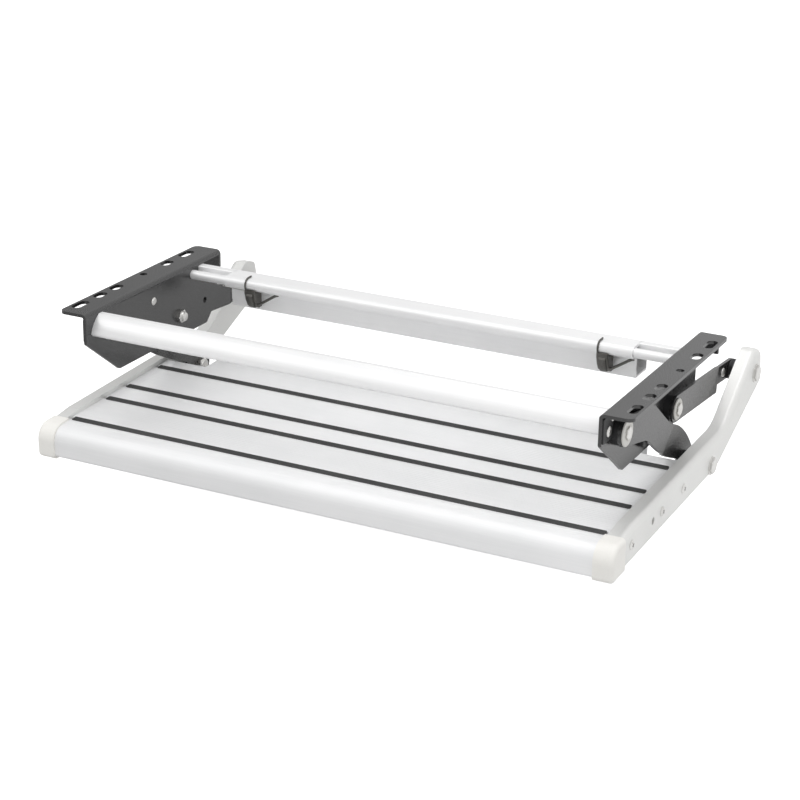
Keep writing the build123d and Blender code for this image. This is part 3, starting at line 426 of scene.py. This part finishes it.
def hex_head(bm, centre, x, height, flats, side, turn=0.3, outward=1):
    """Chamfered hexagon from x outwards, or inwards with outward=-1, with a dished middle."""
    top = x + outward * height
    edge = top - outward * HEX_CHAMFER * flats
    dished = top - outward * HEX_DISH_DEPTH
    bridge(bm, [hex_ring(bm, centre, x, flats, side, turn),
                hex_ring(bm, centre, edge, flats, side, turn, dip=outward * HEX_CORNER_DIP * flats),
                hex_ring(bm, centre, top, flats, side, turn, round_to=HEX_CROWN * flats),
                hex_ring(bm, centre, dished, flats, side, turn, round_to=HEX_DISH * flats)])


def drawn(bm, outline, x_from, x_to, taper=0.0):
    """Profile in the side view, drawn along X, its ends optionally pulled in towards its middle."""
    middle = (sum(p[0] for p in outline) / len(outline), sum(p[1] for p in outline) / len(outline))
    rings = []
    stations = [(x_from, taper), (x_from + taper, 0.0), (x_to - taper, 0.0), (x_to, taper)]
    if not taper:
        stations = [(x_from, 0.0), (x_to, 0.0)]
    for x, inset in stations:
        ring = []
        for y, z in outline:
            reach = hypot(y - middle[0], z - middle[1])
            keep = max(KEPT_LEAST, 1.0 - inset / reach) if reach else 1.0
            ring.append(bm.verts.new((x, middle[0] + (y - middle[0]) * keep,
                                      middle[1] + (z - middle[1]) * keep)))
        rings.append(ring)
    bridge(bm, rings)


def wire(bm, points, radius):
    """Round wire through points, its ends capped."""
    rings = []
    for i, point in enumerate(points):
        here = Vector(point)
        before = Vector(points[max(i - 1, 0)])
        after = Vector(points[min(i + 1, len(points) - 1)])
        along = (after - before).normalized()
        across = along.cross(OFF_WIRES).normalized()
        upward = across.cross(along).normalized()
        rings.append([bm.verts.new(here + radius * (cos(2 * pi * k / WIRE_SEGMENTS) * across
                                                   + sin(2 * pi * k / WIRE_SEGMENTS) * upward))
                      for k in range(WIRE_SEGMENTS)])
    bridge(bm, rings)


def recess_shade_cross(bm, centre, x, side, arm, width, depth):
    """Cross of two dark wedges that reach from a screw's crown down into it: a dark solid as painted
    shade where the hollow cross recess would be.
    """
    corners = ((arm, width), (-arm, width), (-arm, -width), (arm, -width))
    for angle in (RECESS_TURN, RECESS_TURN + pi / 2):
        c = cos(angle)
        s = sin(angle)
        rings = []
        for at, size in ((x - depth, RECESS_FOOT), (x, 1.0)):
            rings.append([bm.verts.new((side * at, centre[0] + size * (a * c - w * s),
                                        centre[1] + size * (a * s + w * c))) for a, w in corners])
        bridge(bm, rings)


# Carried-over CAD nodes: finishes, and small rounded edges on the visible rigid pieces
WELD_WITHIN = 0.000002
ROUND_SEGMENTS = 2
ROUND_OVER = radians(40.0)
NODE_SLOTS = {entry["node"]: entry["material_slot"] for entry in frame["record"]["subparts"]}
EDGE_ROUNDS = {"bracket_left": 0.4, "bracket_right": 0.4, "front_link_left": 0.4,
               "front_link_right": 0.4, "rear_link_left": 0.4, "rear_link_right": 0.4,
               "front_crossbar": 0.5, "crossbar_end_plates": 0.3, "side_arm_left": 0.7,
               "side_arm_right": 0.7, "corner_cap_left": 0.5, "corner_cap_right": 0.5,
               "tread_panel": 0.3}
for node_name, slot_name in NODE_SLOTS.items():
    node = frame["nodes"][node_name]
    node.data.materials.clear()
    node.data.materials.append(MATERIALS[slot_name])
    if node_name in EDGE_ROUNDS:
        weld = node.modifiers.new("weld", "WELD")
        weld.merge_threshold = WELD_WITHIN
        rounding = node.modifiers.new("rounding", "BEVEL")
        rounding.width = EDGE_ROUNDS[node_name] * MM
        rounding.segments = ROUND_SEGMENTS
        rounding.limit_method = "ANGLE"
        rounding.angle_limit = ROUND_OVER
        rounding.use_clamp_overlap = True
        normals = node.modifiers.new("normals", "WEIGHTED_NORMAL")
        normals.keep_sharp = True

# Tread: fine ribs along the panel's top, and soft strips that stand in its grooves
STRIP_BACK = (0.0, 53.9, 87.0, 140.4)
STRIP_HALF = 256.5
RIB_PITCH = 3.2
RIB_FRONT = -14.4
RIB_REAR = 193.0
RIB_CLEAR = 5.2
RIB_RISE = 0.15
RIB_PROFILE = ((-0.9, -0.1), (0.9, -0.1), (0.5, RIB_RISE), (-0.5, RIB_RISE))
END_CLEAR = 1.5
NOTCH_BACK = 159.0
NOTCH_HALF = 216.0

ribs = bmesh.new()
rib_back = RIB_FRONT
while rib_back < RIB_REAR:
    if all(abs(rib_back - strip) > RIB_CLEAR for strip in STRIP_BACK):
        half = (PANEL_HALF if rib_back < NOTCH_BACK else NOTCH_HALF) - END_CLEAR
        drawn(ribs, [on_tread(rib_back + y, z) for y, z in RIB_PROFILE], -half, half)
    rib_back += RIB_PITCH
finish_piece("tread_ribs", ribs, "tread", "panel_alloy")

STRIP_TAPER = 0.6
STRIP_PROFILE = ((-2.3, -1.6), (2.3, -1.6), (2.3, 0.08), (3.5, 0.08), (3.5, 0.55), (2.9, 1.0), (2.3, 0.7),
                 (1.7, 1.15), (1.1, 0.8), (0.5, 1.2), (0.0, 0.85), (-0.5, 1.2), (-1.1, 0.8), (-1.7, 1.15),
                 (-2.3, 0.7), (-2.9, 1.0), (-3.5, 0.55), (-3.5, 0.08), (-2.3, 0.08))
strips = bmesh.new()
for strip in STRIP_BACK:
    profile = [on_tread(strip + y, z) for y, z in STRIP_PROFILE]
    drawn(strips, profile, -STRIP_HALF, STRIP_HALF, STRIP_TAPER)
finish_piece("grip_strips_ribbed", strips, "tread", "grip_rubber", ["grip_strips"])

# Fasteners of the bracket pivots
PIVOT_WASHERS = ((PIVOT_A, 11.5), (PIVOT_B, 9.5))
WASHER_DISH_X = WASHER_OUTER_X - 0.25
PIVOT_HEAD_HEIGHT = 2.05
PIVOT_HEAD_FLATS = 10.4
PIVOT_NUT_HEIGHT = 3.9
PIVOT_NUT_FLATS = 11.4
PIVOT_BOLT_R = 4.0
THREAD_R = 3.7
THREAD_PITCH = 0.25
PIVOT_END_X = WEB_INNER_X - 5.0
PIVOT_TIP = (PIVOT_END_X - 1.5, 3.3)
PIVOT_NUT_COLLAR = ((WEB_INNER_X - 3.7, 4.9), (WEB_INNER_X - 4.6, 4.8), (PIVOT_END_X, 4.5),
                    (PIVOT_END_X, 4.1))
washers = bmesh.new()
heads = bmesh.new()
nuts = bmesh.new()
for side in (-1, 1):
    for pivot, radius in PIVOT_WASHERS:
        turned(washers, pivot, [(WASHER_X, radius - 0.3), (WASHER_X + 0.25, radius),
                                (WASHER_OUTER_X - 0.45, radius), (WASHER_OUTER_X, radius - 0.6),
                                (WASHER_OUTER_X, 7.4), (WASHER_DISH_X, 7.1),
                                (WASHER_DISH_X, PIVOT_BOLT_R)], side)
        hex_head(heads, pivot, WASHER_DISH_X, PIVOT_HEAD_HEIGHT, PIVOT_HEAD_FLATS, side)
        stub = [(WASHER_OUTER_X - 0.2, PIVOT_BOLT_R), (PIVOT_END_X, PIVOT_BOLT_R)]
        stub += [(PIVOT_END_X - THREAD_PITCH * k, PIVOT_BOLT_R if k % 2 else THREAD_R)
                 for k in range(1, 6)]
        turned(heads, pivot, [*stub, PIVOT_TIP], side)
        hex_head(nuts, pivot, WEB_INNER_X, PIVOT_NUT_HEIGHT, PIVOT_NUT_FLATS, side, 0.0, -1)
        turned(nuts, pivot, PIVOT_NUT_COLLAR, side)
finish_piece("pivot_washers_turned", washers, "frame", "pale_plastic", ["pivot_washers"])
finish_piece("pivot_bolts_hex", heads, "frame", "bright_steel", ["pivot_bolts"])
finish_piece("pivot_nuts_locking", nuts, "frame", "bright_steel", ["pivot_nuts"])

# Small screws and rivets: the arm screws are placed along and above the tread's top
BAR_PORT_AT = (-113.7, -18.3)
BAR_PEG_AT = (-107.0, -9.8)
RIVET_AT = (-16.4, -18.5)
ARM_SCREW_AT = ((10.0, -10.5), (78.5, -10.0), (129.0, -10.0))
BAR_SCREW_R = 4.5
ARM_SCREW_R = 4.2
SCREW_RISE = 1.6
SHANK_R = 2.1
SHANK_LENGTH = 4.0
CROWN = ((0.35, 1.0), (0.75, 0.82), (1.0, 0.45))
# Size of the dark cross that stands as painted shade in each screw's cross recess
RECESS_ARM = 0.5
RECESS_WIDTH = 0.11
RECESS_DEPTH = 0.3
RECESS_PROUD = 0.02
SMALL_SEGMENTS = 28
PEG_SEGMENTS = 20
BAR_PEG = ((END_PLATE_X - 3.0, 1.2), (END_PLATE_X, 1.2), (END_PLATE_X, 1.9), (END_PLATE_X + 0.8, 1.8),
           (END_PLATE_X + 1.4, 1.2), (END_PLATE_X + 1.6, 0.4))
RIVET_DOME = ((1.6, 0.8), (1.35, 2.2), (0.8, 3.3), (0.15, 3.8), (0.0, 3.8), (0.0, 2.0))


def pan_screw(bm, recess_shades, centre, x, radius, side):
    """Head domed by CROWN's shares of rise and radius, with a dark cross as painted recess shade and a
    shank end.
    """
    head = [(x - SHANK_LENGTH, SHANK_R), (x, SHANK_R), (x, radius)]
    head += [(x + up * SCREW_RISE, across * radius) for up, across in CROWN]
    turned(bm, centre, head, side, SMALL_SEGMENTS)
    recess_shade_cross(recess_shades, centre, x + SCREW_RISE + RECESS_PROUD, side, RECESS_ARM * radius,
                 RECESS_WIDTH * radius, RECESS_DEPTH)


bar_screws = bmesh.new()
arm_screw_heads = bmesh.new()
recess_shades_frame = bmesh.new()
recess_shades_tread = bmesh.new()
rivets = bmesh.new()
for side in (-1, 1):
    pan_screw(bar_screws, recess_shades_frame, BAR_PORT_AT, END_PLATE_X, BAR_SCREW_R, side)
    turned(bar_screws, BAR_PEG_AT, BAR_PEG, side, PEG_SEGMENTS)
    for screw in ARM_SCREW_AT:
        pan_screw(arm_screw_heads, recess_shades_tread, on_tread(*screw), ARM_OUTER_X, ARM_SCREW_R, side)
    rivet = [(WEB_INNER_X - out, radius) for out, radius in RIVET_DOME]
    rivet += [(WEB_X + out, radius) for out, radius in reversed(RIVET_DOME)]
    turned(rivets, RIVET_AT, rivet, side, SMALL_SEGMENTS)
finish_piece("crossbar_screws_pan", bar_screws, "frame", "bright_steel", ["crossbar_screws"])
finish_piece("arm_screws_pan", arm_screw_heads, "tread", "bright_steel", ["arm_screws"])
# Dark crosses on the screw heads: painted shade of their cross recesses, not hollows
finish_piece("crossbar_screw_recess_shades", recess_shades_frame, "frame", "dark_steel")
finish_piece("arm_screw_recess_shades", recess_shades_tread, "tread", "dark_steel")
finish_piece("web_rivets_domed", rivets, "frame", "bright_steel", ["web_rivets"])

# Bolts through the arms, the locking nuts on the front ones, and the rear links' collared pins
ARM_HEAD_X = ARM_OUTER_X + 0.7
ARM_HEAD_HEIGHT = 2.3
ARM_HEAD_FLATS = 13.4
ARM_HEAD_FLANGE = ((ARM_OUTER_X, 8.6), (ARM_OUTER_X + 0.6, 8.6), (ARM_OUTER_X + 0.8, 8.2))
ARM_BOLT = ((243.2, 4.6), (243.5, 5.0), (ARM_OUTER_X, 5.0), *ARM_HEAD_FLANGE)
REAR_BOLT = ((260.3, 3.8), (ARM_OUTER_X, 4.0), *ARM_HEAD_FLANGE)
ARM_NUT_X = 248.0
ARM_NUT_HEIGHT = 3.8
ARM_NUT_FLATS = 14.0
ARM_NUT_TURN = 0.1
ARM_NUT_COLLAR = ((244.4, 6.2), (243.4, 6.0), (243.0, 5.6), (243.0, 5.0))
PIN_COLLAR = ((LINK_BACK_X, 5.0), (LINK_BACK_X, 9.2), (LINK_BACK_X + 0.4, 9.5), (253.4, 9.5),
              (253.7, 9.1), (254.3, 9.1), (254.6, 9.5), (257.4, 9.5), (257.9, 9.1), (257.9, 5.0))
LINK_PIN = ((246.5, 2.4), (246.7, 5.4), (247.4, 6.8), (248.2, 7.0), (248.2, 4.0), (257.8, 4.0),
            (257.8, 5.0), (259.0, 5.0), (259.7, 4.4))
LINK_STUD = ((248.2, 3.0), (LINK_BACK_X, 3.0), (LINK_BACK_X, 4.2), (LINK_BACK_X + 0.7, 4.0),
             (LINK_BACK_X + 1.4, 2.8), (LINK_BACK_X + 1.6, 1.2))
STUD_ALONG = 130.0
STUD_ABOVE = 1.5
REAR_LINK_ANGLE = atan2(PIVOT_D[1] - PIVOT_B[1], PIVOT_D[0] - PIVOT_B[0])
STUD_AT = (PIVOT_B[0] + STUD_ALONG * cos(REAR_LINK_ANGLE) - STUD_ABOVE * sin(REAR_LINK_ANGLE),
           PIVOT_B[1] + STUD_ALONG * sin(REAR_LINK_ANGLE) + STUD_ABOVE * cos(REAR_LINK_ANGLE))
arm_bolts = bmesh.new()
arm_nuts = bmesh.new()
rear_bolts = bmesh.new()
collars = bmesh.new()
studs = bmesh.new()
for side in (-1, 1):
    turned(arm_bolts, PIVOT_C, ARM_BOLT, side)
    hex_head(arm_bolts, PIVOT_C, ARM_HEAD_X, ARM_HEAD_HEIGHT, ARM_HEAD_FLATS, side)
    hex_head(arm_nuts, PIVOT_C, ARM_NUT_X, ARM_NUT_HEIGHT, ARM_NUT_FLATS, side, ARM_NUT_TURN, -1)
    turned(arm_nuts, PIVOT_C, ARM_NUT_COLLAR, side)
    turned(rear_bolts, PIVOT_D, REAR_BOLT, side)
    hex_head(rear_bolts, PIVOT_D, ARM_HEAD_X, ARM_HEAD_HEIGHT, ARM_HEAD_FLATS, side)
    turned(collars, PIVOT_D, PIN_COLLAR, side)
    turned(studs, PIVOT_D, LINK_PIN, side)
    turned(studs, STUD_AT, LINK_STUD, side, SMALL_SEGMENTS)
finish_piece("tread_pivot_bolts_hex", arm_bolts, "tread", "bright_steel", ["tread_pivot_bolts"])
finish_piece("tread_pivot_nuts_locking", arm_nuts, "tread", "bright_steel", ["tread_pivot_nuts"])
finish_piece("rear_arm_bolts_hex", rear_bolts, "tread", "bright_steel", ["rear_arm_bolts"])
finish_piece("rear_link_collars", collars, "rear_links", "black_plastic", ["rear_link_pins"])
finish_piece("rear_link_studs", studs, "rear_links", "bright_steel")

# Rear extrusion: bead and top plate over a hollow box, with a strip of the plate on to each web
CHANNEL_HALF = 205.0
PLATE_REAR = 70.0
PLATE_TOP = -5.3
PLATE_THICK = 2.0
PLATE_CHAMFER = 0.6
BOX_END = 0.6
STRIP_OVERLAP = 0.3
BOX_OUTER = ((55.6, -14.2), (57.8, -17.5), (58.2, -30.8), (59.0, -31.2), (59.0, -37.0),
             (83.2, -37.0), (84.5, -36.4), (85.0, -35.2), (85.0, -14.4), (84.4, -13.1),
             (83.0, -12.6), (PLATE_REAR, -12.6), (PLATE_REAR, -6.4), (56.4, -6.4))
BOX_INNER = ((57.4, -14.2), (59.4, -17.5), (59.8, -30.6), (60.6, -31.6), (60.6, -35.2),
             (82.8, -35.2), (83.1, -35.1), (83.2, -34.9), (83.2, -14.8), (83.1, -14.5),
             (82.9, -14.4), (68.4, -14.4), (68.4, -8.4), (57.6, -8.4))
END_STRIP = ((PLATE_REAR, -7.3), (PLATE_REAR, -5.9), (69.4, PLATE_TOP), (62.0, PLATE_TOP), (61.4, -5.9),
             (61.4, -14.0), (54.8, -14.0), (54.8, -15.4), (62.8, -15.4), (62.8, -7.3))
BEAD_ROUND = range(90, 401, 10)


def drawn_tube(bm, outer, inner, x_from, x_to):
    """Hollow profile along X: both outlines have the same number of points."""
    skins = []
    for outline in (outer, inner):
        skins.append([[bm.verts.new((x, y, z)) for y, z in outline] for x in (x_from, x_to)])
    count = len(outer)
    for i in range(count):
        j = (i + 1) % count
        for near, far in skins:
            bm.faces.new((near[i], near[j], far[j], far[i]))
        for end in (0, 1):
            bm.faces.new((skins[0][end][i], skins[0][end][j], skins[1][end][j], skins[1][end][i]))


channel = bmesh.new()
bead = [(PLATE_REAR, PLATE_TOP - PLATE_THICK), (PLATE_REAR, PLATE_TOP - PLATE_CHAMFER),
        (PLATE_REAR - PLATE_CHAMFER, PLATE_TOP)]
bead += [(ROD_AT[0] + BEAD_R * cos(radians(a)), ROD_AT[1] + BEAD_R * sin(radians(a))) for a in BEAD_ROUND]
drawn(channel, bead, -CHANNEL_HALF, CHANNEL_HALF)
drawn(channel, END_STRIP, -WEB_INNER_X, STRIP_OVERLAP - CHANNEL_HALF)
drawn(channel, END_STRIP, CHANNEL_HALF - STRIP_OVERLAP, WEB_INNER_X)
drawn_tube(channel, BOX_OUTER, BOX_INNER, BOX_END - CHANNEL_HALF, CHANNEL_HALF - BOX_END)
finish_piece("rear_channel_extrusion", channel, "frame", "extrusion", ["rear_channel"])

# Spring clips: a dark folded body under the bead, a wire hook over it and a lever to the right
CLIP_AT = 177.5
CLIP_BODY = ((45.2, -14.0), (44.8, -18.0), (46.6, -25.0), (50.4, -31.4), (54.4, -33.6), (58.6, -33.4),
             (58.4, -30.0), (58.0, -22.0), (57.6, -18.0), (54.6, -16.8), (49.0, -17.2), (46.4, -15.4))
CLIP_FOLD = ((44.8, -18.4), (43.6, -20.0), (45.6, -26.4), (49.6, -32.4), (52.4, -33.4), (48.4, -27.0),
             (46.4, -20.0))
CLIP_BODY_HALF = 5.6
CLIP_FOLD_HALF = 3.2
HOOK_X = -4.4
HOOK_R = 0.8
HOOK_SWEEP = BEAD_R + 0.9
HOOK_FROM = 222.0
HOOK_TURN = 11.0
HOOK_STEPS = 13
HOOK_TAIL = 5.0
LEVER_R = 1.3
LEVER = ((4.0, 51.0, -29.6), (7.0, 50.4, -29.0), (15.0, 50.4, -24.0), (22.0, 50.8, -19.4),
         (24.5, 51.4, -18.0), (27.0, 52.6, -17.4))
BODY_TAPER = 0.7
FOLD_TAPER = 0.6
clips = bmesh.new()
for side in (-1, 1):
    middle = side * CLIP_AT
    drawn(clips, CLIP_BODY, middle - CLIP_BODY_HALF, middle + CLIP_BODY_HALF, BODY_TAPER)
    drawn(clips, CLIP_FOLD, middle - CLIP_FOLD_HALF, middle + CLIP_FOLD_HALF, FOLD_TAPER)
    hook = []
    for step in range(HOOK_STEPS):
        angle = radians(HOOK_FROM - HOOK_TURN * step)
        hook.append((middle + HOOK_X, ROD_AT[0] + HOOK_SWEEP * cos(angle),
                     ROD_AT[1] + HOOK_SWEEP * sin(angle)))
    hook.append((middle + HOOK_X, ROD_AT[0] + HOOK_TAIL, ROD_AT[1] + HOOK_SWEEP))
    wire(clips, hook, HOOK_R)
    wire(clips, [(middle + x, y, z) for x, y, z in LEVER], LEVER_R)
finish_piece("spring_clips_folded", clips, "frame", "dark_steel", ["spring_clips", "clip_wire_right"])

# Thin bright wire from the left clip along the underside of the bead
LEFT_WIRE_R = 0.7
LEFT_WIRE = ((-CLIP_AT - 4.0, 52.0, -27.0), (-CLIP_AT - 7.0, 52.6, -22.0), (-CLIP_AT - 11.0, 52.8, -18.4),
             (-206.0, 52.6, -17.3), (-211.0, 52.6, -17.3))
left_wire = bmesh.new()
wire(left_wire, LEFT_WIRE, LEFT_WIRE_R)
finish_piece("clip_wire_left_thin", left_wire, "frame", "bright_steel", ["clip_wire_left"])

# Rear end tabs of the brackets: the part beside the web, flush with its inner face
TAB_REACH = ((WEB_INNER_X, 99.0), (248.6, 99.0), (248.6, 102.0), (WEB_INNER_X, 102.0))
TAB_HEIGHTS = (-17.0, -4.2)
tabs = bmesh.new()
for side in (-1, 1):
    bridge(tabs, [[tabs.verts.new((side * x, y, z)) for x, y in TAB_REACH] for z in TAB_HEIGHTS])
finish_piece("bracket_tab_inner_ends", tabs, "frame", "black_coat")
